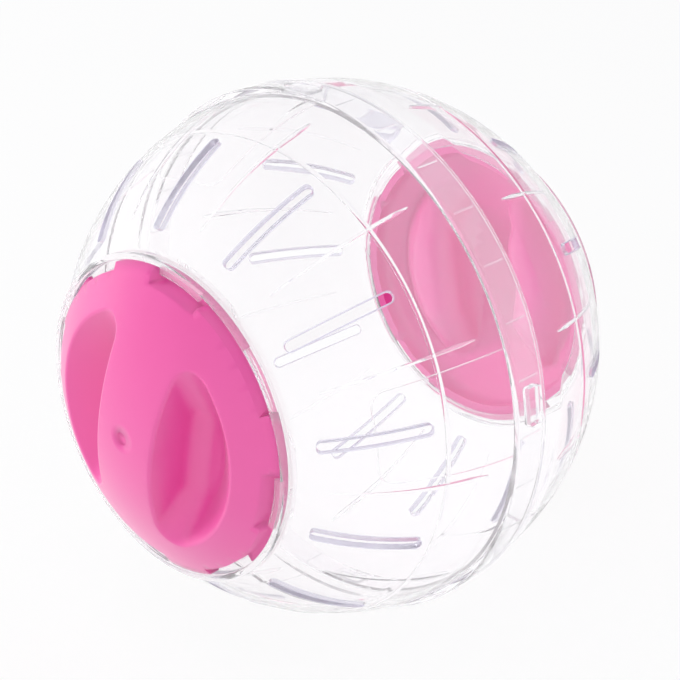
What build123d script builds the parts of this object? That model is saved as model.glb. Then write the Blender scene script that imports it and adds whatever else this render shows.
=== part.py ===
# Hamster ball: two clear half shells snapped together at a band, and two pink bayonet lids.
# Millimetres. Each piece is drawn with its own pole upright, then laid on its side, so that the
# finished ball has its axis along Y, its front lid towards -Y and +Z up, with the origin at its centre.
import math
import os

from build123d import *

# Ball
BALL_RADIUS = 60.0
WALL = 1.4
INNER_RADIUS = BALL_RADIUS - WALL
EDGE_ROUND = 0.4
SLOT_COUNT = 12
FRONT_SLOT_ANGLE = 9.5
BACK_SLOT_ANGLE = -3.5

# Band where the halves meet
BAND_STAND = 0.9
BAND_RADIUS = BALL_RADIUS + BAND_STAND
BAND_TOP = 6.8
SEAM = -2.1
SKIRT_BORE = BAND_RADIUS - WALL
SPIGOT_GAP = 0.3
SPIGOT_RADIUS = SKIRT_BORE - SPIGOT_GAP
SPIGOT_BORE = SPIGOT_RADIUS - WALL
SKIRT_LIP = 2.2
SKIRT_TOP = BAND_TOP - SKIRT_LIP
JOIN_GAP = 0.2
SPIGOT_TOP = SKIRT_TOP - JOIN_GAP
SNAP_COUNT = 4
SNAP_ANGLE = 7.2
WINDOW_LENGTH = 8.9
WINDOW_HEIGHT = 4.0
WINDOW_CENTRE = 1.0
WINDOW_CORNER = 1.0
SNAP_INSET = 0.5
SNAP_FACE = BAND_RADIUS - SNAP_INSET

# Vent slots, treads and bead ring
SLOT_WIDTH = 2.2
SLOT_LOW = 24.5
SLOT_HIGH = 47.6
TREAD_LOW = 11.6
TREAD_HIGH = 44.7
TREAD_THICK = 0.9
TREAD_DEPTH = 0.9
BEAD_HEIGHT = 0.355 * BALL_RADIUS
BEAD_RADIUS = 0.55

# Collar round each lid hole
COLLAR_RADIUS = 0.61 * BALL_RADIUS
COLLAR_BORE = COLLAR_RADIUS - WALL
COLLAR_FOOT = math.sqrt(BALL_RADIUS**2 - COLLAR_RADIUS**2)
COLLAR_STAND = 2.35
COLLAR_TOP = COLLAR_FOOT + COLLAR_STAND
COLLAR_DEPTH = 2.7
LEDGE_TOP = COLLAR_TOP - COLLAR_DEPTH
LEDGE_THICK = 1.2
LEDGE_BOTTOM = LEDGE_TOP - LEDGE_THICK
LEDGE_REACH = 1.8
LEDGE_BORE = COLLAR_BORE - LEDGE_REACH
LUG_COUNT = 4
LUG_ANGLE = -11.0
LUG_SPAN = 20.0
LUG_REACH = 1.6
LUG_THICK = 1.2
LUG_BORE = COLLAR_BORE - LUG_REACH
LUG_UNDER = COLLAR_TOP - LUG_THICK

# Lid
LID_GAP = 0.3
LID_RADIUS = COLLAR_BORE - LID_GAP
SEAT_GAP = 0.2
LID_SEAT = LEDGE_TOP + SEAT_GAP
LID_EDGE = COLLAR_TOP
LID_WALL = 1.8
RIM_WIDTH = 3.4
LID_BORE = LID_RADIUS - RIM_WIDTH
DOME_RISE = 0.3324 * LID_RADIUS
LID_APEX = LID_EDGE + DOME_RISE
BOWL_FLOOR = LID_SEAT + LID_WALL + SEAT_GAP
BOWL_FLOOR_RADIUS = 0.535 * LID_RADIUS
BOWL_SPREAD = 1.3
BAR_HALF = 0.24 * LID_RADIUS
BAR_SPREAD = 0.22
BOWL_CORNER = 0.143 * LID_RADIUS
MOUTH_EDGE = 1.1
GATE_RADIUS = 1.5
GATE_DEPTH = 0.5

# Bayonet track in the lid's rim
TURN = 45.0
TRACK_BORE = LUG_BORE - LID_GAP
TRACK_FLOOR = LUG_UNDER - LID_GAP
RECESS_BORE = LUG_BORE - LUG_REACH
RECESS_SPAN = 24.0
NOTCH_SPAN = 23.0

# Dome of the lid as an arc through its edge and its apex
DOME_RADIUS = (LID_RADIUS**2 + DOME_RISE**2) / (2 * DOME_RISE)
DOME_CENTRE = LID_APEX - DOME_RADIUS


def latitude(radius, height):
    return math.degrees(math.asin(height / radius))


def reach(radius, height):
    return math.sqrt(radius**2 - height**2)


def meridian(angle):
    """Upright plane through the axis, its x along the given angle."""
    turn = math.radians(angle)
    return Plane(
        origin=(0, 0, 0),
        x_dir=(math.cos(turn), math.sin(turn), 0),
        z_dir=(math.sin(turn), -math.cos(turn), 0),
    )


def sector(inner, outer, low, high):
    """Closed outline between two arcs about the centre, for a sketch on a meridian plane."""
    near_arc = CenterArc((0, 0), inner, low, high - low)
    far_arc = CenterArc((0, 0), outer, low, high - low)
    Line(near_arc @ 0, far_arc @ 0)
    Line(near_arc @ 1, far_arc @ 1)


def wall_and_collar(outer_start, inner_end):
    """Outline of the wall from its outer start up to the collar, over the ledge and back inside."""
    start = latitude(BALL_RADIUS, outer_start)
    CenterArc((0, 0), BALL_RADIUS, start, latitude(BALL_RADIUS, COLLAR_FOOT) - start)
    Polyline(
        (COLLAR_RADIUS, COLLAR_FOOT),
        (COLLAR_RADIUS, COLLAR_TOP),
        (COLLAR_BORE, COLLAR_TOP),
        (COLLAR_BORE, LEDGE_TOP),
        (LEDGE_BORE, LEDGE_TOP),
        (LEDGE_BORE, LEDGE_BOTTOM),
        (reach(INNER_RADIUS, LEDGE_BOTTOM), LEDGE_BOTTOM),
    )
    end = latitude(INNER_RADIUS, inner_end)
    CenterArc((0, 0), INNER_RADIUS, end, latitude(INNER_RADIUS, LEDGE_BOTTOM) - end)


def ring_piece(bore, radius, low, high, middle, span):
    """Piece of a ring with a square section, centred on an angle about the axis."""
    with BuildPart() as piece:
        with BuildSketch(meridian(middle - span / 2)):
            with Locations(((bore + radius) / 2, (low + high) / 2)):
                Rectangle(radius - bore, high - low)
        revolve(axis=Axis.Z, revolution_arc=span)
    return piece.part


# Cutter for one vent slot, a plate on a meridian with rounded ends
with BuildPart() as slot:
    with BuildSketch(Plane.XZ):
        with BuildLine():
            sector(BALL_RADIUS - 3 * WALL, BALL_RADIUS + 2 * WALL, SLOT_LOW, SLOT_HIGH)
        make_face()
    extrude(amount=SLOT_WIDTH / 2, both=True)
    ends = slot.edges().filter_by(GeomType.LINE).filter_by(lambda e: e.length > 2 * SLOT_WIDTH)
    fillet(ends, SLOT_WIDTH * 0.47)

# One running tread, a thin rib on the inside that grows towards the band
low_turn = math.radians(TREAD_LOW)
high_turn = math.radians(TREAD_HIGH)
mid_turn = (low_turn + high_turn) / 2
mid_reach = INNER_RADIUS - TREAD_DEPTH / 2
low_reach = INNER_RADIUS - TREAD_DEPTH
with BuildPart() as tread:
    with BuildSketch(Plane.XZ):
        with BuildLine():
            root = CenterArc((0, 0), INNER_RADIUS + WALL / 2, TREAD_LOW, TREAD_HIGH - TREAD_LOW)
            crest = ThreePointArc(
                (low_reach * math.cos(low_turn), low_reach * math.sin(low_turn)),
                (mid_reach * math.cos(mid_turn), mid_reach * math.sin(mid_turn)),
                (INNER_RADIUS * math.cos(high_turn), INNER_RADIUS * math.sin(high_turn)),
            )
            Line(root @ 0, crest @ 0)
            Line(root @ 1, crest @ 1)
        make_face()
    extrude(amount=TREAD_THICK / 2, both=True)

# Bead ring that stiffens the wall on the inside
with BuildPart() as bead:
    with BuildSketch(Plane.XZ):
        with Locations((reach(INNER_RADIUS, BEAD_HEIGHT), BEAD_HEIGHT)):
            Circle(BEAD_RADIUS)
    revolve(axis=Axis.Z)

# Four lugs inside the collar, under which the lid's rim turns
with BuildPart() as lugs:
    with PolarLocations(0, LUG_COUNT):
        add(ring_piece(LUG_BORE, COLLAR_BORE + EDGE_ROUND, LUG_UNDER, COLLAR_TOP, 0, LUG_SPAN))

# Window in the skirt of the front half and the smaller snap lug of the back half that fills it
with BuildPart() as window:
    with Locations((BAND_RADIUS, 0, WINDOW_CENTRE)):
        Box(4 * WALL, WINDOW_LENGTH, WINDOW_HEIGHT)
    fillet(window.edges().filter_by(Axis.X), WINDOW_CORNER)
with BuildPart() as snap:
    depth = SNAP_FACE - SPIGOT_RADIUS + WALL / 2
    with Locations((SNAP_FACE - depth / 2, 0, WINDOW_CENTRE)):
        Box(depth, WINDOW_LENGTH - 2 * JOIN_GAP, WINDOW_HEIGHT - 2 * JOIN_GAP)
    fillet(snap.edges().filter_by(Axis.X), WINDOW_CORNER - JOIN_GAP)


# Front half shell: wall, collar, and the skirt that makes the outside of the band
with BuildPart() as front_half:
    with BuildSketch(Plane.XZ) as front_outline:
        with BuildLine():
            wall_and_collar(BAND_TOP, SKIRT_TOP)
            Polyline(
                (reach(INNER_RADIUS, SKIRT_TOP), SKIRT_TOP),
                (SKIRT_BORE, SKIRT_TOP),
                (SKIRT_BORE, SEAM),
                (BAND_RADIUS, SEAM),
                (BAND_RADIUS, BAND_TOP),
                (reach(BALL_RADIUS, BAND_TOP), BAND_TOP),
            )
        make_face()
        outer_corners = front_outline.vertices().sort_by(Axis.X)[-2:]
        fillet(outer_corners, EDGE_ROUND)
        top_corners = front_outline.vertices().sort_by(Axis.Y)[-2:]
        fillet(top_corners, EDGE_ROUND)
    revolve(axis=Axis.Z)
    add(bead.part)
    with PolarLocations(0, SLOT_COUNT, FRONT_SLOT_ANGLE + 180 / SLOT_COUNT):
        add(tread.part)
    with PolarLocations(0, SLOT_COUNT, FRONT_SLOT_ANGLE):
        add(slot.part, mode=Mode.SUBTRACT)
    with PolarLocations(0, SNAP_COUNT, SNAP_ANGLE):
        add(window.part, mode=Mode.SUBTRACT)
    add(lugs.part.rotate(Axis.Z, LUG_ANGLE))

# Back half shell: the same wall and collar, with the spigot that slides inside the skirt
with BuildPart() as back_half:
    shoulder = JOIN_GAP - SEAM
    spigot_foot = math.sqrt(INNER_RADIUS**2 - SPIGOT_BORE**2)
    with BuildSketch(Plane.XZ) as back_outline:
        with BuildLine():
            wall_and_collar(shoulder, spigot_foot)
            Polyline(
                (SPIGOT_BORE, spigot_foot),
                (SPIGOT_BORE, -SPIGOT_TOP),
                (SPIGOT_RADIUS, -SPIGOT_TOP),
                (SPIGOT_RADIUS, shoulder),
                (reach(BALL_RADIUS, shoulder), shoulder),
            )
        make_face()
        top_corners = back_outline.vertices().sort_by(Axis.Y)[-2:]
        fillet(top_corners, EDGE_ROUND)
    revolve(axis=Axis.Z)
    add(bead.part)
    with PolarLocations(0, SLOT_COUNT, BACK_SLOT_ANGLE + 180 / SLOT_COUNT):
        add(tread.part)
    with PolarLocations(0, SLOT_COUNT, BACK_SLOT_ANGLE):
        add(slot.part, mode=Mode.SUBTRACT)
    with PolarLocations(0, SNAP_COUNT, -SNAP_ANGLE):
        add(snap.part.mirror(Plane.XY))
    add(lugs.part.rotate(Axis.Z, LUG_ANGLE))


def finger_bowl(wall):
    """The two finger scoops beside the tapered grip bar, grown outwards by a wall thickness."""
    floor = BOWL_FLOOR - wall
    roof = LID_APEX + LID_WALL
    sideways = wall * math.hypot(1, BOWL_SPREAD)
    floor_radius = BOWL_FLOOR_RADIUS + sideways - BOWL_SPREAD * wall
    bar_top = BAR_HALF - wall * math.hypot(1, BAR_SPREAD) + BAR_SPREAD * (LID_APEX - roof)
    bar_foot = bar_top + BAR_SPREAD * (roof - floor)
    with BuildPart() as bowl:
        with Locations((0, 0, floor)):
            Cone(
                floor_radius,
                floor_radius + BOWL_SPREAD * (roof - floor),
                roof - floor,
                align=(Align.CENTER, Align.CENTER, Align.MIN),
            )
        with BuildSketch(Plane.XZ):
            with BuildLine():
                Polyline(
                    (bar_foot, floor),
                    (bar_top, roof),
                    (-bar_top, roof),
                    (-bar_foot, floor),
                    close=True,
                )
            make_face()
        extrude(amount=2 * LID_RADIUS, both=True, mode=Mode.SUBTRACT)
        corners = bowl.edges().filter_by(lambda e: abs((e @ 0).Z - (e @ 1).Z) > wall + LID_WALL)
        corners = corners.filter_by(
            lambda e: abs(abs((e @ 0.5).X) - bar_foot + BAR_SPREAD * ((e @ 0.5).Z - floor)) < 0.01
        )
        floor_edges = bowl.edges().filter_by(
            lambda e: abs((e @ 0).Z - floor) < 0.01 and abs((e @ 1).Z - floor) < 0.01
        )
        fillet(corners + floor_edges, BOWL_CORNER + wall)
    return bowl.part


# Bayonet lid, drawn once and used at both poles: dome, rim, scoops, track and gate mark
with BuildPart() as lid_outside:
    with BuildSketch(Plane.XZ):
        with BuildLine():
            start = math.degrees(math.asin((LID_EDGE - DOME_CENTRE) / DOME_RADIUS))
            CenterArc((0, DOME_CENTRE), DOME_RADIUS, start, 90 - start)
            Polyline(
                (0, LID_APEX),
                (0, LID_SEAT),
                (LID_RADIUS, LID_SEAT),
                (LID_RADIUS, LID_EDGE),
            )
        make_face()
    revolve(axis=Axis.Z)
    add(finger_bowl(0), mode=Mode.SUBTRACT)
    mouth = lid_outside.edges().filter_by(
        lambda e: abs(((e @ 0.5) - Vector(0, 0, DOME_CENTRE)).length - DOME_RADIUS) < 0.01
        and math.hypot((e @ 0.5).X, (e @ 0.5).Y) < RECESS_BORE
        and e.length > LID_WALL
        and abs(((e @ 0.25) - Vector(0, 0, DOME_CENTRE)).length - DOME_RADIUS) < 0.01
    )
    fillet(mouth, MOUTH_EDGE)
with BuildPart() as lid_inside:
    with BuildSketch(Plane.XZ):
        with BuildLine():
            inner_dome = DOME_RADIUS - LID_WALL
            start = math.degrees(math.acos(LID_BORE / inner_dome))
            CenterArc((0, DOME_CENTRE), inner_dome, start, 90 - start)
            Polyline(
                (0, LID_APEX - LID_WALL),
                (0, LID_SEAT - LID_WALL),
                (LID_BORE, LID_SEAT - LID_WALL),
                (LID_BORE, DOME_CENTRE + inner_dome * math.sin(math.radians(start))),
            )
        make_face()
    revolve(axis=Axis.Z)
    add(finger_bowl(LID_WALL), mode=Mode.SUBTRACT)
with BuildPart() as track:
    rim_out = LID_RADIUS + LID_WALL
    sweep = TURN + NOTCH_SPAN / 2 + RECESS_SPAN / 2
    middle = RECESS_SPAN / 2 - sweep / 2
    with PolarLocations(0, LUG_COUNT):
        add(ring_piece(TRACK_BORE, rim_out, TRACK_FLOOR, LID_APEX, middle, sweep))
        add(ring_piece(RECESS_BORE, rim_out, TRACK_FLOOR, LID_APEX, 0, RECESS_SPAN))
        add(ring_piece(TRACK_BORE, rim_out, LID_SEAT - LID_WALL, LID_APEX, -TURN, NOTCH_SPAN))
with BuildPart() as lid:
    add(lid_outside.part)
    add(lid_inside.part, mode=Mode.SUBTRACT)
    add(track.part, mode=Mode.SUBTRACT)
    with Locations((0, 0, LID_APEX)):
        Cylinder(GATE_RADIUS, 2 * GATE_DEPTH, mode=Mode.SUBTRACT)

# Each piece laid in its place in the ball
with BuildPart() as front_shell:
    add(front_half.part.rotate(Axis.X, 90))
with BuildPart() as back_shell:
    add(back_half.part.rotate(Axis.X, -90))
with BuildPart() as front_lid:
    add(lid.part.rotate(Axis.Z, LUG_ANGLE).rotate(Axis.X, 90))
with BuildPart() as back_lid:
    add(lid.part.rotate(Axis.Z, LUG_ANGLE).rotate(Axis.X, -90))

os.makedirs("parts", exist_ok=True)
front_shell.part.label = "front_shell"
export_step(front_shell.part, "parts/front_shell.step")
back_shell.part.label = "back_shell"
export_step(back_shell.part, "parts/back_shell.step")
front_lid.part.label = "front_lid"
export_step(front_lid.part, "parts/front_lid.step")
back_lid.part.label = "back_lid"
export_step(back_lid.part, "parts/back_lid.step")
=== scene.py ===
import math

import bmesh
import bpy
from mathutils import Matrix, Vector


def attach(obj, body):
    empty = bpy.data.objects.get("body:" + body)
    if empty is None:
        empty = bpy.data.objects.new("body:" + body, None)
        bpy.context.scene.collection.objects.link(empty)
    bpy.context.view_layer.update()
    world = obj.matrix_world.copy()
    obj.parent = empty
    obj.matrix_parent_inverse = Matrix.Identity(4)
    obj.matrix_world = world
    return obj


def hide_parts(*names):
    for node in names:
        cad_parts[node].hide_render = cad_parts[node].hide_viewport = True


# Hamster ball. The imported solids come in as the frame: two clear half shells that are one body, and
# two pink lids that turn in their collars. Every piece below is made at the ball's centre, in metres.
# Named sizes are in millimetres, and angles and latitudes in degrees.
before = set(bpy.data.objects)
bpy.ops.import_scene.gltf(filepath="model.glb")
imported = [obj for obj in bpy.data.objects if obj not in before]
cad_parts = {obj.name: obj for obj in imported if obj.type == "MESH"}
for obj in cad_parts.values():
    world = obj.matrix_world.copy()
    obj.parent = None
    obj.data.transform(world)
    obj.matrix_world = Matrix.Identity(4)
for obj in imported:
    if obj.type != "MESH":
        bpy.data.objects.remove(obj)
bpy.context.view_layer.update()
scene = bpy.context.scene
scene.view_settings.view_transform = "Standard"

# Clear half shells. Each real half is one moulding of clear polystyrene: a thin spherical wall with
# twelve vent slots, a stiffening bead inside, and a collar with a ledge where the lid sits. The front
# half carries the skirt of the band, and the back half the spigot that snaps inside it.
MM = 0.001
BALL_RADIUS = 60.0
WALL = 1.4
SLOTS = 12
SLOT_HALF_WIDTH = 1.1
SLOT_LOW = 24.5
SLOT_HIGH = 47.6
SLOT_END_STEPS = 6
SLOT_SIDE_STEPS = 16
GLOW_STRIP = 0.22
FRONT_SLOT_ANGLE = 9.5
BACK_SLOT_ANGLE = -3.5
BEAD_LATITUDE = 21.3
BEAD_RADIUS = 0.55
BEAD_STEPS = 3
BEAD_MARGIN = 1.6
COLLAR_RADIUS = 36.6
COLLAR_BORE = 35.2
COLLAR_TOP = 49.9
LEDGE_TOP = 47.2
LEDGE_BOTTOM = 46.0
LEDGE_BORE = 33.4
BAND_RADIUS = 60.9
BAND_TOP = 6.8
SEAM = -2.1
SKIRT_BORE = 59.5
SKIRT_TOP = 4.6
SPIGOT_RADIUS = 59.2
SPIGOT_BORE = 57.8
SPIGOT_TOP = 4.4
SHOULDER = 2.3
COLLAR_ROUND = 0.4
LEDGE_ROUND = 0.25
LEDGE_CORNER = 0.2
BAND_ROUND = 0.45
ROUND_STEPS = 3
ROW_SPACING = 1.2
WELD_GAP = 0.003
COPY_WELD_GAP = 0.004
SLIVER = 0.002
SHELL_SHARP = 35
FRONT_TURN = Matrix.Rotation(math.radians(90), 4, "X")
BACK_TURN = Matrix.Rotation(math.radians(-90), 4, "X")


def srgb(code):
    """Linear colour of an sRGB hex code."""
    values = [int(code[i : i + 2], 16) / 255 for i in (1, 3, 5)]
    return [v / 12.92 if v <= 0.04045 else ((v + 0.055) / 1.055) ** 2.4 for v in values] + [1.0]


def add_node(tree, kind, links=(), **settings):
    """A node of this kind, with its settings, and its inputs set to values or linked to sockets."""
    node = tree.nodes.new(kind)
    for name, value in settings.items():
        setattr(node, name, value)
    for name, value in dict(links).items():
        if isinstance(value, bpy.types.NodeSocket):
            tree.links.new(value, node.inputs[name])
        else:
            node.inputs[name].default_value = value
    return node


def new_material(name):
    """An empty node material and its tree."""
    material = bpy.data.materials.new(name)
    material.use_nodes = True
    material.node_tree.nodes.clear()
    return material, material.node_tree


# Injection-moulded polystyrene, clear and glossy: it bends light at its edges, and slow waves of about
# two centimetres from the mould make what is behind it swim a little. Lamps pass through it unbent. The
# IOR is below the real 1.59, which gives the band and collar heavy grey edges and dulls the far lid.
WAVE_LENGTH = 22.0
WAVE_DEPTH = 1.2
clear_polystyrene, tree = new_material("clear_polystyrene")
place = add_node(tree, "ShaderNodeTexCoord")
waves = add_node(
    tree,
    "ShaderNodeTexNoise",
    {"Vector": place.outputs["Object"], "Scale": 1 / (WAVE_LENGTH * MM), "Detail": 1.0},
)
ripple = add_node(
    tree,
    "ShaderNodeBump",
    {"Height": waves.outputs["Fac"], "Strength": 0.06, "Distance": WAVE_DEPTH * MM},
)
clear = add_node(
    tree,
    "ShaderNodeBsdfPrincipled",
    {
        "Base Color": srgb("#FDFDFD"),
        "Roughness": 0.02,
        "IOR": 1.14,
        "Transmission Weight": 0.9,
        "Normal": ripple.outputs["Normal"],
    },
)
lamp_light = add_node(tree, "ShaderNodeBsdfTransparent", {"Color": srgb("#FCFBFD")})
path = add_node(tree, "ShaderNodeLightPath")
either = add_node(
    tree,
    "ShaderNodeMixShader",
    {0: path.outputs["Is Shadow Ray"], 1: clear.outputs[0], 2: lamp_light.outputs[0]},
)
add_node(tree, "ShaderNodeOutputMaterial", {"Surface": either.outputs[0]})

# The same polystyrene where the wall is cut through and its end faces the eye. Its pale lilac, a little
# cloudy colour is painted light: a painted glow that stands in for the light that runs along the wall and
# gathers at the cut, on a slot's sides and a narrow strip round them.
STREAK_LENGTH = 4.0
polystyrene_edge_painted_glow, tree = new_material("polystyrene_edge_painted_glow")
place = add_node(tree, "ShaderNodeTexCoord")
streaks = add_node(
    tree,
    "ShaderNodeTexNoise",
    {"Vector": place.outputs["Object"], "Scale": 1 / (STREAK_LENGTH * MM)},
)
cloudy_painted_glow = add_node(
    tree,
    "ShaderNodeMix",
    {0: streaks.outputs["Fac"], 6: srgb("#D6D3E6"), 7: srgb("#ECEAF4")},
    data_type="RGBA",
)
edge = add_node(
    tree,
    "ShaderNodeBsdfPrincipled",
    {"Base Color": cloudy_painted_glow.outputs[2], "Roughness": 0.2, "IOR": 1.2, "Transmission Weight": 0.55},
)
lamp_light = add_node(tree, "ShaderNodeBsdfTransparent", {"Color": srgb("#F4F3F8")})
path = add_node(tree, "ShaderNodeLightPath")
either = add_node(
    tree,
    "ShaderNodeMixShader",
    {0: path.outputs["Is Shadow Ray"], 1: edge.outputs[0], 2: lamp_light.outputs[0]},
)
add_node(tree, "ShaderNodeOutputMaterial", {"Surface": either.outputs[0]})


def ring_tree():
    """Copies of a piece set round the ball's axis, welded where they meet and given a material."""
    tree = bpy.data.node_groups.new("Copies round the axis", "GeometryNodeTree")
    face = tree.interface
    face.new_socket("Geometry", in_out="INPUT", socket_type="NodeSocketGeometry")
    face.new_socket("Count", in_out="INPUT", socket_type="NodeSocketInt")
    face.new_socket("First Angle", in_out="INPUT", socket_type="NodeSocketFloat")
    face.new_socket("Weld Gap", in_out="INPUT", socket_type="NodeSocketFloat")
    face.new_socket("Material", in_out="INPUT", socket_type="NodeSocketMaterial")
    face.new_socket("Geometry", in_out="OUTPUT", socket_type="NodeSocketGeometry")
    given = add_node(tree, "NodeGroupInput")
    points = add_node(tree, "GeometryNodeMeshLine", {"Count": given.outputs["Count"], "Offset": (0, 0, 0)})
    index = add_node(tree, "GeometryNodeInputIndex")
    step = add_node(tree, "ShaderNodeMath", {0: math.tau, 1: given.outputs["Count"]}, operation="DIVIDE")
    first = add_node(tree, "ShaderNodeMath", {0: given.outputs["First Angle"]}, operation="RADIANS")
    angle = add_node(
        tree,
        "ShaderNodeMath",
        {0: index.outputs[0], 1: step.outputs[0], 2: first.outputs[0]},
        operation="MULTIPLY_ADD",
    )
    turn = add_node(tree, "ShaderNodeCombineXYZ", {"Z": angle.outputs[0]})
    copies = add_node(
        tree,
        "GeometryNodeInstanceOnPoints",
        {
            "Points": points.outputs["Mesh"],
            "Instance": given.outputs["Geometry"],
            "Rotation": turn.outputs[0],
        },
    )
    real = add_node(tree, "GeometryNodeRealizeInstances", {"Geometry": copies.outputs[0]})
    welded = add_node(
        tree,
        "GeometryNodeMergeByDistance",
        {"Geometry": real.outputs[0], "Distance": given.outputs["Weld Gap"]},
    )
    dressed = add_node(
        tree,
        "GeometryNodeSetMaterial",
        {"Geometry": welded.outputs[0], "Material": given.outputs["Material"]},
    )
    add_node(tree, "NodeGroupOutput", {"Geometry": dressed.outputs[0]})
    return tree


ring_of_copies = ring_tree()


def plain_object(name, mesh):
    """A new object of this mesh, at the origin, in the scene."""
    piece = bpy.data.objects.new(name, mesh)
    scene.collection.objects.link(piece)
    return piece


def object_of(name, work):
    """A new object of this bmesh, which is freed."""
    mesh = bpy.data.meshes.new(name)
    work.to_mesh(mesh)
    work.free()
    return plain_object(name, mesh)


def join_loops(work, loops):
    """Joins each closed loop of points to the next one with faces."""
    for near, far in zip(loops, loops[1:]):
        for i in range(len(near)):
            j = (i + 1) % len(near)
            work.faces.new((near[i], near[j], far[j], far[i]))


def apply_modifiers(piece):
    """Makes the piece's modifiers real in its mesh and takes them off."""
    bpy.context.view_layer.update()
    evaluated = piece.evaluated_get(bpy.context.evaluated_depsgraph_get())
    finished = bpy.data.meshes.new_from_object(evaluated)
    piece.modifiers.clear()
    piece.data = finished


def copies_round_axis(piece, count, first_angle, material):
    """Sets copies of the piece's mesh round the axis and makes them one plain mesh."""
    modifier = piece.modifiers.new("Copies", "NODES")
    modifier.node_group = ring_of_copies
    values = {
        "Count": count,
        "First Angle": first_angle,
        "Weld Gap": COPY_WELD_GAP * MM,
        "Material": material,
    }
    for item in ring_of_copies.interface.items_tree:
        if item.in_out == "INPUT" and item.name in values:
            modifier[item.identifier] = values[item.name]
    apply_modifiers(piece)


def face_out(mesh):
    """Turns the faces of closed pieces outwards and shades them smooth up to a sharp angle."""
    work = bmesh.new()
    work.from_mesh(mesh)
    bmesh.ops.recalc_face_normals(work, faces=work.faces)
    for face in work.faces:
        face.smooth = True
    work.to_mesh(mesh)
    work.free()
    mesh.set_sharp_from_angle(angle=math.radians(SHELL_SHARP))


def slot_rows():
    """Latitude and half width of the vent slot's rows, close together round its ends."""
    tip = math.degrees(SLOT_HALF_WIDTH / BALL_RADIUS)
    turns = [math.radians(90 * k / SLOT_END_STEPS) for k in range(SLOT_END_STEPS + 1)]
    rows = [(SLOT_LOW + tip * (1 - math.cos(t)), SLOT_HALF_WIDTH * math.sin(t)) for t in turns]
    steps = SLOT_SIDE_STEPS
    straight = SLOT_HIGH - SLOT_LOW - 2 * tip
    rows += [(SLOT_LOW + tip + straight * k / steps, SLOT_HALF_WIDTH) for k in range(1, steps)]
    turns.reverse()
    rows += [(SLOT_HIGH - tip * (1 - math.cos(t)), SLOT_HALF_WIDTH * math.sin(t)) for t in turns]
    return rows


def arc_rows(radius, low, high):
    """Rows of the wall at one radius, from a low to a high latitude, as (reach, height, half width)."""
    slot = slot_rows()
    below = max(2, round((SLOT_LOW - low) / ROW_SPACING))
    above = max(2, round((high - SLOT_HIGH) / ROW_SPACING))
    rows = [(low + (SLOT_LOW - low) * k / below, 0) for k in range(below)]
    rows += slot
    rows += [(SLOT_HIGH + (high - SLOT_HIGH) * k / above, 0) for k in range(1, above + 1)]
    # On the inner wall, rows of the bead take the place of those that lie close to it.
    if radius < BALL_RADIUS:
        spread = math.degrees(BEAD_RADIUS / radius)
        rows = [row for row in rows if abs(row[0] - BEAD_LATITUDE) > BEAD_MARGIN * spread]
        steps = range(-BEAD_STEPS, BEAD_STEPS + 1)
        rows += [(BEAD_LATITUDE + spread * k / BEAD_STEPS, 0) for k in steps]
        rows.sort()
    result = []
    for latitude, half_width in rows:
        off = math.radians(latitude - BEAD_LATITUDE) * radius
        on_bead = radius < BALL_RADIUS and abs(off) < BEAD_RADIUS
        inset = math.sqrt(BEAD_RADIUS**2 - off**2) if on_bead else 0
        turn = math.radians(latitude)
        result.append(((radius - inset) * math.cos(turn), (radius - inset) * math.sin(turn), half_width))
    return result


def rounded(corner, before, after, size):
    """Points of a small rounding at a corner between two neighbours."""
    c = Vector(corner)
    a = c + (Vector(before) - c).normalized() * size
    b = c + (Vector(after) - c).normalized() * size
    points = []
    for k in range(ROUND_STEPS + 1):
        t = k / ROUND_STEPS
        points.append(tuple((1 - t) ** 2 * a + 2 * t * (1 - t) * c + t**2 * b))
    return points


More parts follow.
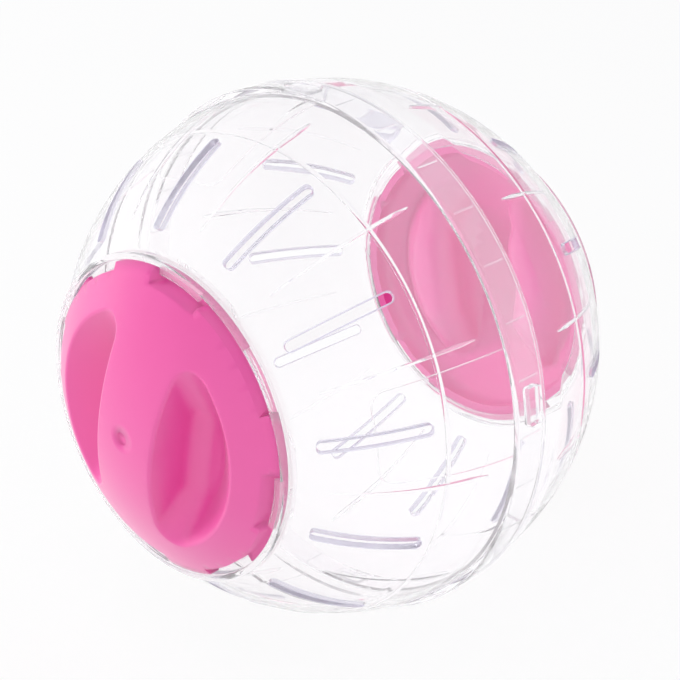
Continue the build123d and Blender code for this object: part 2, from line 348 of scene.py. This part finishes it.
def half_shell(name, foot, wall_start, wall_end):
    """One slot's share of a half shell: its closed outline swept over that share of the turn.
    foot holds the corners from the end of the inner wall round to the start of the outer wall."""
    inner = BALL_RADIUS - WALL
    collar_foot = math.degrees(math.acos(COLLAR_RADIUS / BALL_RADIUS))
    ledge = math.degrees(math.asin(LEDGE_BOTTOM / inner))
    outer_rows = arc_rows(BALL_RADIUS, math.degrees(math.asin(wall_start / BALL_RADIUS)), collar_foot)
    inner_rows = arc_rows(inner, math.degrees(math.asin(wall_end / inner)), ledge)
    outer_rim = (COLLAR_RADIUS, COLLAR_TOP)
    inner_rim = (COLLAR_BORE, COLLAR_TOP)
    ledge_corner = (COLLAR_BORE, LEDGE_TOP)
    ledge_edge = (LEDGE_BORE, LEDGE_TOP)
    ledge_foot = (LEDGE_BORE, LEDGE_BOTTOM)
    collar = rounded(outer_rim, (COLLAR_RADIUS, 0), (0, COLLAR_TOP), COLLAR_ROUND)
    collar += rounded(inner_rim, outer_rim, (COLLAR_BORE, 0), COLLAR_ROUND)
    collar += rounded(ledge_corner, inner_rim, ledge_edge, LEDGE_CORNER)
    collar += rounded(ledge_edge, ledge_corner, ledge_foot, LEDGE_ROUND)
    collar += [ledge_foot]
    rows = outer_rows + [(r, z, 0) for r, z in collar]
    rows += inner_rows[::-1] + [(r, z, 0) for r, z in foot]
    # The strips of wall from a slot to midway to the next one, narrow beside the slot.
    shares = [0, 0.022, 0.07, 0.18, 0.33, 0.5, 0.66, 0.83, 1.0]
    half_turn = math.pi / SLOTS
    shell = bmesh.new()
    columns = []
    for side in (-1, 1):
        lines = []
        for share in shares:
            line = []
            for r, z, half_width in rows:
                edge = math.asin(half_width / r)
                turn = side * (edge + (half_turn - edge) * share)
                place = Vector((r * math.cos(turn), r * math.sin(turn), z))
                line.append(shell.verts.new(place * MM))
            lines.append(line)
        columns.append(lines)
    total = len(rows)
    for lines in columns:
        join_loops(shell, lines)
    slot_length = len(slot_rows())
    first_out = [i for i in range(len(outer_rows)) if outer_rows[i][2] > 0][0] - 1
    first_in = [i for i in range(total) if i > len(outer_rows) and rows[i][2] > 0][0] - 1
    for lines in columns:
        for k in range(slot_length - 1):
            a = first_out + k
            b = first_in + slot_length - 1 - k
            shell.faces.new((lines[0][a], lines[0][a + 1], lines[0][b - 1], lines[0][b]))
    bmesh.ops.remove_doubles(shell, verts=shell.verts, dist=WELD_GAP * MM)
    bmesh.ops.dissolve_degenerate(shell, edges=shell.edges, dist=SLIVER * MM)
    return object_of(name, shell)


def paint_slot_side_glow(mesh, first_angle):
    """Gives the sides of the vent slots, and a narrow strip round them, the cut edge's material with its
    painted pale glow.
    """
    mesh.materials.append(polystyrene_edge_painted_glow)
    glow_index = len(mesh.materials) - 1
    tip = math.degrees(SLOT_HALF_WIDTH / BALL_RADIUS)
    pitch = 360 / SLOTS
    for face in mesh.polygons:
        x, y, z = face.center / MM
        latitude = math.degrees(math.asin(z * MM / face.center.length))
        turn = (math.degrees(math.atan2(y, x)) - first_angle + pitch / 2) % pitch - pitch / 2
        across = math.hypot(x, y) * abs(math.sin(math.radians(turn)))
        past = max(SLOT_LOW + tip - latitude, latitude - SLOT_HIGH + tip, 0) / tip
        if past < 1 and across < SLOT_HALF_WIDTH * math.sqrt(1 - past**2) + GLOW_STRIP:
            face.material_index = glow_index


def fix_to_shell(piece, turn):
    """Turns a finished clear piece to its own end of the ball and makes it part of the shell."""
    piece.data.transform(turn)
    face_out(piece.data)
    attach(piece, "shell")


front_foot = [(SKIRT_BORE, SKIRT_TOP), (SKIRT_BORE, SEAM)]
front_foot += rounded((BAND_RADIUS, SEAM), (SKIRT_BORE, SEAM), (BAND_RADIUS, BAND_TOP), BAND_ROUND)
front_foot += [(BAND_RADIUS, (SEAM + BAND_TOP) / 2)]
front_foot += rounded((BAND_RADIUS, BAND_TOP), (BAND_RADIUS, SEAM), (SKIRT_BORE, BAND_TOP), BAND_ROUND)
front_shell = half_shell("front_half_shell", front_foot, BAND_TOP, SKIRT_TOP)
copies_round_axis(front_shell, SLOTS, FRONT_SLOT_ANGLE, clear_polystyrene)

SPIGOT_ROW = 2.0
spigot_foot = math.sqrt((BALL_RADIUS - WALL) ** 2 - SPIGOT_BORE**2)
back_foot = [(SPIGOT_BORE, SPIGOT_ROW), (SPIGOT_BORE, -SPIGOT_TOP)]
back_foot += [(SPIGOT_RADIUS, -SPIGOT_TOP), (SPIGOT_RADIUS, SHOULDER)]
back_shell = half_shell("back_half_shell", back_foot, SHOULDER, spigot_foot)
copies_round_axis(back_shell, SLOTS, BACK_SLOT_ANGLE, clear_polystyrene)
paint_slot_side_glow(back_shell.data, BACK_SLOT_ANGLE)
fix_to_shell(back_shell, BACK_TURN)
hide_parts("back_shell")

# Snap joint of the band. Four rounded windows go through the front half's skirt, and the back half's
# four lugs click into them from inside, which keeps the halves together.
SNAPS = 4
SNAP_ANGLE = 7.2
WINDOW_LENGTH = 8.9
WINDOW_HEIGHT = 4.0
WINDOW_CENTRE = 1.0
WINDOW_CORNER = 1.0
CUTTER_START = SPIGOT_RADIUS - 0.3
CUTTER_END = BAND_RADIUS + 2.0
SNAP_ROOT = SPIGOT_RADIUS - 0.7
SNAP_FACE = BAND_RADIUS - 0.5
SNAP_GAP = 0.2
SNAP_CORNER = 0.8


def rounded_block(name, low, high, corner):
    """A block from one corner to the other, with the edges along X rounded."""
    block = bmesh.new()
    bmesh.ops.create_cube(block, size=1.0)
    size = Vector(high) - Vector(low)
    middle = (Vector(high) + Vector(low)) / 2
    for vert in block.verts:
        vert.co = (Vector([vert.co[i] * size[i] for i in range(3)]) + middle) * MM
    along = [e for e in block.edges if abs((e.verts[0].co - e.verts[1].co).normalized().x) > 0.99]
    bmesh.ops.bevel(block, geom=along, offset=corner * MM, segments=5, profile=0.5, affect="EDGES")
    return object_of(name, block)


half_length = WINDOW_LENGTH / 2
half_height = WINDOW_HEIGHT / 2
cutter = rounded_block(
    "window_cutter",
    (CUTTER_START, -half_length, WINDOW_CENTRE - half_height),
    (CUTTER_END, half_length, WINDOW_CENTRE + half_height),
    WINDOW_CORNER,
)
copies_round_axis(cutter, SNAPS, SNAP_ANGLE, clear_polystyrene)
face_out(front_shell.data)
face_out(cutter.data)
windows = front_shell.modifiers.new("Windows", "BOOLEAN")
windows.object = cutter
windows.operation = "DIFFERENCE"
windows.solver = "EXACT"
apply_modifiers(front_shell)
bpy.data.objects.remove(cutter)
paint_slot_side_glow(front_shell.data, FRONT_SLOT_ANGLE)
fix_to_shell(front_shell, FRONT_TURN)
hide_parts("front_shell")

# Both halves are made with the pole up, so on the back half these heights and angles change sign.
snap_lugs = rounded_block(
    "snap_lugs",
    (SNAP_ROOT, -half_length + SNAP_GAP, -WINDOW_CENTRE - half_height + SNAP_GAP),
    (SNAP_FACE, half_length - SNAP_GAP, -WINDOW_CENTRE + half_height - SNAP_GAP),
    SNAP_CORNER,
)
copies_round_axis(snap_lugs, SNAPS, -SNAP_ANGLE, clear_polystyrene)
fix_to_shell(snap_lugs, BACK_TURN)

# Running treads. Twelve thin ribs stand on the inside of each half, midway between the slots, and grow
# from nothing near the lid to three quarters of a millimetre near the band. They are moulded with the wall.
TREAD_LOW = 11.6
TREAD_HIGH = 44.7
TREAD_HALF = 0.45
TREAD_DEPTH = 0.9
TREAD_SINK = 0.15
TREAD_STEPS = 26
CREST_ROUND = 0.2
# Shares of the depth and width at the end by the band, how fast they grow to the full size from there,
# and the share of the width that is lost on the way to the lid.
END_DEPTH = 0.45
DEPTH_GROWTH = 4.0
END_WIDTH = 0.4
WIDTH_GROWTH = 6.0
WIDTH_LOSS = 0.5


def skin(work, loops):
    """Joins the loops of points with faces and closes both ends."""
    join_loops(work, loops)
    work.faces.new(loops[0])
    work.faces.new(loops[-1])


def tread(name):
    """One tread as a thin plate on a meridian, lower and narrower just at its end by the band."""
    inner = BALL_RADIUS - WALL
    root = inner + TREAD_SINK
    plate = bmesh.new()
    loops = []
    for k in range(TREAD_STEPS + 1):
        share = k / TREAD_STEPS
        turn = math.radians(TREAD_LOW + (TREAD_HIGH - TREAD_LOW) * share)
        crest = inner - TREAD_DEPTH * (1 - share) * min(1.0, END_DEPTH + DEPTH_GROWTH * share)
        half = TREAD_HALF * min(1.0, END_WIDTH + WIDTH_GROWTH * share) * (1 - WIDTH_LOSS * share)
        shoulder = crest + CREST_ROUND
        section = [(root, -half), (shoulder, -half), (crest, 0), (shoulder, half), (root, half)]
        loop = []
        for reach, offset in section:
            place = Vector((reach * math.cos(turn), offset, reach * math.sin(turn)))
            loop.append(plate.verts.new(place * MM))
        loops.append(loop)
    skin(plate, loops)
    return object_of(name, plate)


front_treads = tread("front_treads")
copies_round_axis(front_treads, SLOTS, FRONT_SLOT_ANGLE + 180 / SLOTS, clear_polystyrene)
fix_to_shell(front_treads, FRONT_TURN)
back_treads = tread("back_treads")
copies_round_axis(back_treads, SLOTS, BACK_SLOT_ANGLE + 180 / SLOTS, clear_polystyrene)
fix_to_shell(back_treads, BACK_TURN)

# Bayonet lugs. Four short lugs inside the top of each collar hold the lid's rim down. They are part of
# the same clear moulding.
LUGS = 4
LUG_ANGLE = -11.0
LUG_SPAN = 20.0
LUG_BORE = 33.6
LUG_UNDER = 48.7
LUG_ROUND = 0.3
LUG_SINK = 0.15
LUG_DROP = 0.05
LUG_STEPS = 10


def collar_lug(name):
    """One lug as a piece of a ring with softened corners, its root sunk into the collar."""
    low_edge = (LUG_BORE, LUG_UNDER)
    high_edge = (LUG_BORE, COLLAR_TOP)
    root = COLLAR_BORE + LUG_SINK
    outline = rounded(low_edge, (COLLAR_BORE, LUG_UNDER), high_edge, LUG_ROUND)
    outline += rounded(high_edge, low_edge, (COLLAR_BORE, COLLAR_TOP), LUG_ROUND)
    outline += [(root, COLLAR_TOP - LUG_DROP), (root, LUG_UNDER)]
    lug = bmesh.new()
    loops = []
    for k in range(LUG_STEPS + 1):
        turn = math.radians(LUG_SPAN * (k / LUG_STEPS - 0.5))
        loop = []
        for r, z in outline:
            place = Vector((r * math.cos(turn), r * math.sin(turn), z))
            loop.append(lug.verts.new(place * MM))
        loops.append(loop)
    skin(lug, loops)
    return object_of(name, lug)


front_lugs = collar_lug("front_collar_lugs")
copies_round_axis(front_lugs, LUGS, LUG_ANGLE, clear_polystyrene)
fix_to_shell(front_lugs, FRONT_TURN)
back_lugs = collar_lug("back_collar_lugs")
copies_round_axis(back_lugs, LUGS, LUG_ANGLE, clear_polystyrene)
fix_to_shell(back_lugs, BACK_TURN)

# Mould witness lines. Where the mould's four slides met the cavity, each front quarter shows a fine
# raised line that runs from the band up beside a slot, across it and back down.
MOULD_SLIDES = 4
WITNESS_HALF = 9.8
WITNESS_TOP = 36.0
WITNESS_LOW = 6.6
WITNESS_RADIUS = 0.16
WITNESS_CORNER = 3.2
WITNESS_MIDDLE = 20.0
SLOT_CLEARANCE = 1.5
CORNER_STRETCH = 1.2
RISE_STEPS = 21
CORNER_STEPS = 8
ACROSS_STEPS = 6
WITNESS_SIDES = 6


def witness_line(name):
    """The line as a thin bead on the wall, open where it meets the slot."""
    bead = bmesh.new()
    corner = WITNESS_CORNER
    corner_turn = CORNER_STRETCH * corner
    top = math.radians(WITNESS_TOP)
    half_at_top = WITNESS_HALF * math.cos(math.radians(WITNESS_MIDDLE)) / math.cos(top)
    for side in (-1, 1):
        route = []
        straight = WITNESS_TOP - corner - WITNESS_LOW
        for k in range(RISE_STEPS + 1):
            route.append((WITNESS_LOW + straight * k / RISE_STEPS, side * half_at_top))
        for k in range(1, CORNER_STEPS + 1):
            turn = math.radians(90 * k / CORNER_STEPS)
            latitude = WITNESS_TOP - corner + corner * math.sin(turn)
            route.append((latitude, side * (half_at_top - corner_turn * (1 - math.cos(turn)))))
        gap = math.degrees(SLOT_CLEARANCE / (BALL_RADIUS * math.cos(top)))
        start = half_at_top - corner_turn
        for k in range(1, ACROSS_STEPS + 1):
            route.append((WITNESS_TOP, side * (start + (gap - start) * k / ACROSS_STEPS)))
        spine = []
        for latitude, turn in route:
            a, b = math.radians(latitude), math.radians(turn)
            spine.append(Vector((math.cos(a) * math.cos(b), math.cos(a) * math.sin(b), math.sin(a))))
        loops = []
        for k, out in enumerate(spine):
            ahead = spine[min(k + 1, len(spine) - 1)] - spine[max(k - 1, 0)]
            across = out.cross(ahead).normalized()
            loop = []
            for m in range(WITNESS_SIDES):
                t = math.tau * m / WITNESS_SIDES
                point = out * (BALL_RADIUS + WITNESS_RADIUS * math.sin(t))
                point += across * WITNESS_RADIUS * math.cos(t)
                loop.append(bead.verts.new(point * MM))
            loops.append(loop)
        skin(bead, loops)
    return object_of(name, bead)


witness = witness_line("mould_witness_lines")
copies_round_axis(witness, MOULD_SLIDES, FRONT_SLOT_ANGLE, clear_polystyrene)
fix_to_shell(witness, FRONT_TURN)

# Band ribs. Thin upright ribs are moulded on the outside of the clear spigot, one every twelve degrees,
# and show through the clear skirt as fine lines across the band.
RIBS = 30
RIB_WIDTH = 0.5
RIB_HEIGHT = 0.12
RIB_LOW = -SPIGOT_TOP + 0.5
RIB_HIGH = 1.6
RIB_SINK = 0.02
RIB_ANGLE = -1.0


def band_rib(name):
    """One low rib with a rounded top, lying on the spigot under the skirt."""
    half = RIB_WIDTH / 2
    foot = SPIGOT_RADIUS - RIB_SINK
    outline = [(-half, 0.0), (-half / 2, 0.75), (0, 1.0), (half / 2, 0.75), (half, 0.0)]
    work = bmesh.new()
    ends = []
    for z in (RIB_LOW, RIB_HIGH):
        line = []
        for across, share in outline:
            place = Vector((foot + RIB_HEIGHT * share, across, z))
            line.append(work.verts.new(place * MM))
        ends.append(line)
    skin(work, ends)
    return object_of(name, work)


band_ribs = band_rib("band_ribs")
copies_round_axis(band_ribs, RIBS, RIB_ANGLE, clear_polystyrene)
fix_to_shell(band_ribs, BACK_TURN)

# Pink lids. Each is one moulding of polypropylene: a dome with two finger scoops beside a grip bar, and
# a rim cut for the bayonet lugs that hold it in the collar. The surface is fine and softly glossy.
CLOUD_WIDTH = 14.0
GRAIN_WIDTH = 0.7
GRAIN_DEPTH = 0.1
LID_WELD_GAP = 0.002
LID_SHARP = 32

# Dyed polypropylene from a finely etched mould: the dye clouds a little over a centimetre, and the grain
# is drawn coarser than the real one, so that it shows. The skin gives it a soft, milky gloss.
pink_polypropylene, tree = new_material("pink_polypropylene")
place = add_node(tree, "ShaderNodeTexCoord")
cloud = add_node(
    tree,
    "ShaderNodeTexNoise",
    {"Vector": place.outputs["Object"], "Scale": 1 / (CLOUD_WIDTH * MM), "Detail": 3.0},
)
tint = add_node(
    tree,
    "ShaderNodeMix",
    {0: cloud.outputs["Fac"], 6: srgb("#DC3290"), 7: srgb("#E03E9A")},
    data_type="RGBA",
)
grain = add_node(
    tree,
    "ShaderNodeTexNoise",
    {"Vector": place.outputs["Object"], "Scale": 1 / (GRAIN_WIDTH * MM), "Detail": 2.0},
)
gloss = add_node(
    tree,
    "ShaderNodeMapRange",
    {"Value": cloud.outputs["Fac"], "To Min": 0.36, "To Max": 0.46},
)
skin = add_node(
    tree,
    "ShaderNodeBump",
    {"Height": grain.outputs["Fac"], "Strength": 0.12, "Distance": GRAIN_DEPTH * MM},
)
pink = add_node(
    tree,
    "ShaderNodeBsdfPrincipled",
    {
        "Base Color": tint.outputs[2],
        "Roughness": gloss.outputs[0],
        "IOR": 1.55,
        "Specular IOR Level": 1.0,
        "Sheen Weight": 0.12,
        "Sheen Roughness": 0.5,
        "Coat Weight": 0.6,
        "Coat Roughness": 0.35,
        "Normal": skin.outputs["Normal"],
    },
)
add_node(tree, "ShaderNodeOutputMaterial", {"Surface": pink.outputs[0]})


def smooth_copy(name, node):
    """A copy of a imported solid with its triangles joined, so that its round faces shade smoothly."""
    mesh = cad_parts[node].data.copy()
    work = bmesh.new()
    work.from_mesh(mesh)
    bmesh.ops.remove_doubles(work, verts=work.verts, dist=LID_WELD_GAP * MM)
    for face in work.faces:
        face.smooth = True
    work.to_mesh(mesh)
    work.free()
    mesh.transform(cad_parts[node].matrix_world)
    mesh.set_sharp_from_angle(angle=math.radians(LID_SHARP))
    mesh.materials.clear()
    mesh.materials.append(pink_polypropylene)
    return plain_object(name, mesh)


for name, node in (("front_bayonet_lid", "front_lid"), ("back_bayonet_lid", "back_lid")):
    piece = smooth_copy(name, node)
    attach(piece, node)
    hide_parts(node)

# Studio. The ball lies on its band on a wide sheet of white paper, under soft white light. Most of the
# paper's share is its own white, to the camera and in the plastic, and the rest keeps the ball's shadow.
FLOOR_GAP = 0.2
FLOOR_HALF = 4000.0
FLOOR_SHARE = 0.88
corners = [(-1, -1), (1, -1), (1, 1), (-1, 1)]
places = [Vector((x * FLOOR_HALF, y * FLOOR_HALF, -BAND_RADIUS - FLOOR_GAP)) * MM for x, y in corners]
floor_mesh = bpy.data.meshes.new("studio_floor")
floor_mesh.from_pydata(places, [], [(0, 1, 2, 3)])
floor = plain_object("studio_floor", floor_mesh)
white_paper, tree = new_material("white_paper")
paper = add_node(tree, "ShaderNodeBsdfDiffuse", {"Color": srgb("#FAFAFA")})
lit = add_node(tree, "ShaderNodeEmission", {"Color": srgb("#FFFFFF"), "Strength": 1.0})
path = add_node(tree, "ShaderNodeLightPath")
seen = add_node(
    tree,
    "ShaderNodeMath",
    {0: path.outputs["Is Camera Ray"], 1: path.outputs["Is Glossy Ray"]},
    operation="MAXIMUM",
)
seen = add_node(
    tree,
    "ShaderNodeMath",
    {0: seen.outputs[0], 1: path.outputs["Is Transmission Ray"]},
    operation="MAXIMUM",
)
share = add_node(tree, "ShaderNodeMath", {0: seen.outputs[0], 1: FLOOR_SHARE}, operation="MULTIPLY")
either = add_node(
    tree,
    "ShaderNodeMixShader",
    {0: share.outputs[0], 1: paper.outputs[0], 2: lit.outputs[0]},
)
add_node(tree, "ShaderNodeOutputMaterial", {"Surface": either.outputs[0]})
floor_mesh.materials.append(white_paper)

# The room is white to the camera. Seen in the plastic it is a little darker overhead, which draws the
# clear edges, and the light that it gives falls off overhead in the same way.
world = bpy.data.worlds.new("studio")
scene.world = world
world.use_nodes = True
tree = world.node_tree
tree.nodes.clear()
direction = add_node(tree, "ShaderNodeTexCoord")
parts = add_node(tree, "ShaderNodeSeparateXYZ", {0: direction.outputs["Generated"]})
height = add_node(
    tree,
    "ShaderNodeMapRange",
    {"Value": parts.outputs["Z"], "From Min": 0.1, "From Max": 0.8},
)
dusk = add_node(
    tree,
    "ShaderNodeMix",
    {0: height.outputs[0], 6: srgb("#FBFBFC"), 7: srgb("#D2D1D8")},
    data_type="RGBA",
)
around = add_node(tree, "ShaderNodeBackground", {"Color": dusk.outputs[2], "Strength": 1.0})
ahead = add_node(tree, "ShaderNodeBackground", {"Color": srgb("#FFFFFF"), "Strength": 1.0})
fill = add_node(tree, "ShaderNodeBackground", {"Color": dusk.outputs[2], "Strength": 0.82})
path = add_node(tree, "ShaderNodeLightPath")
bent = add_node(
    tree,
    "ShaderNodeMath",
    {0: path.outputs["Is Glossy Ray"], 1: path.outputs["Is Transmission Ray"]},
    operation="MAXIMUM",
)
either = add_node(
    tree,
    "ShaderNodeMixShader",
    {0: bent.outputs[0], 1: fill.outputs[0], 2: around.outputs[0]},
)
either = add_node(
    tree,
    "ShaderNodeMixShader",
    {0: path.outputs["Is Camera Ray"], 1: either.outputs[0], 2: ahead.outputs[0]},
)
add_node(tree, "ShaderNodeOutputWorld", {"Surface": either.outputs[0]})


def soft_lamp(name, place, size, power):
    """A square soft lamp that faces the ball, with its place and size in metres and power in watts."""
    data = bpy.data.lights.new(name, "AREA")
    data.shape = "SQUARE"
    data.size = size
    data.energy = power
    lamp = bpy.data.objects.new(name, data)
    lamp.location = place
    lamp.rotation_euler = Vector(place).to_track_quat("Z", "Y").to_euler()
    lamp.visible_glossy = False
    lamp.visible_transmission = False
    scene.collection.objects.link(lamp)


soft_lamp("key_lamp", (-0.95, -0.45, 0.12), 0.3, 7.0)
soft_lamp("top_lamp", (0.1, -0.35, 1.0), 0.6, 2.4)
soft_lamp("side_lamp", (0.6, -0.85, 0.05), 0.22, 2.4)

# Camera at the photograph's angle: 45 degrees round from the front lid and 26.4 above, at the distance
# that the slots' perspective gives.
CAMERA_TURN = 45.0
CAMERA_RISE = 26.42
CAMERA_DISTANCE = 455.5
camera_data = bpy.data.cameras.new("camera")
camera_data.lens = 106.75
camera_data.sensor_width = 36.0
camera_data.shift_x = 0.0124
camera_data.shift_y = 0.0080
camera_data.clip_start = 0.01
camera = bpy.data.objects.new("camera", camera_data)
rise = math.radians(CAMERA_RISE)
turn = math.radians(CAMERA_TURN)
out = Vector((math.cos(rise) * math.sin(turn), -math.cos(rise) * math.cos(turn), math.sin(rise)))
camera.location = out * CAMERA_DISTANCE * MM
camera.rotation_euler = out.to_track_quat("Z", "Y").to_euler()
scene.collection.objects.link(camera)
scene.camera = camera
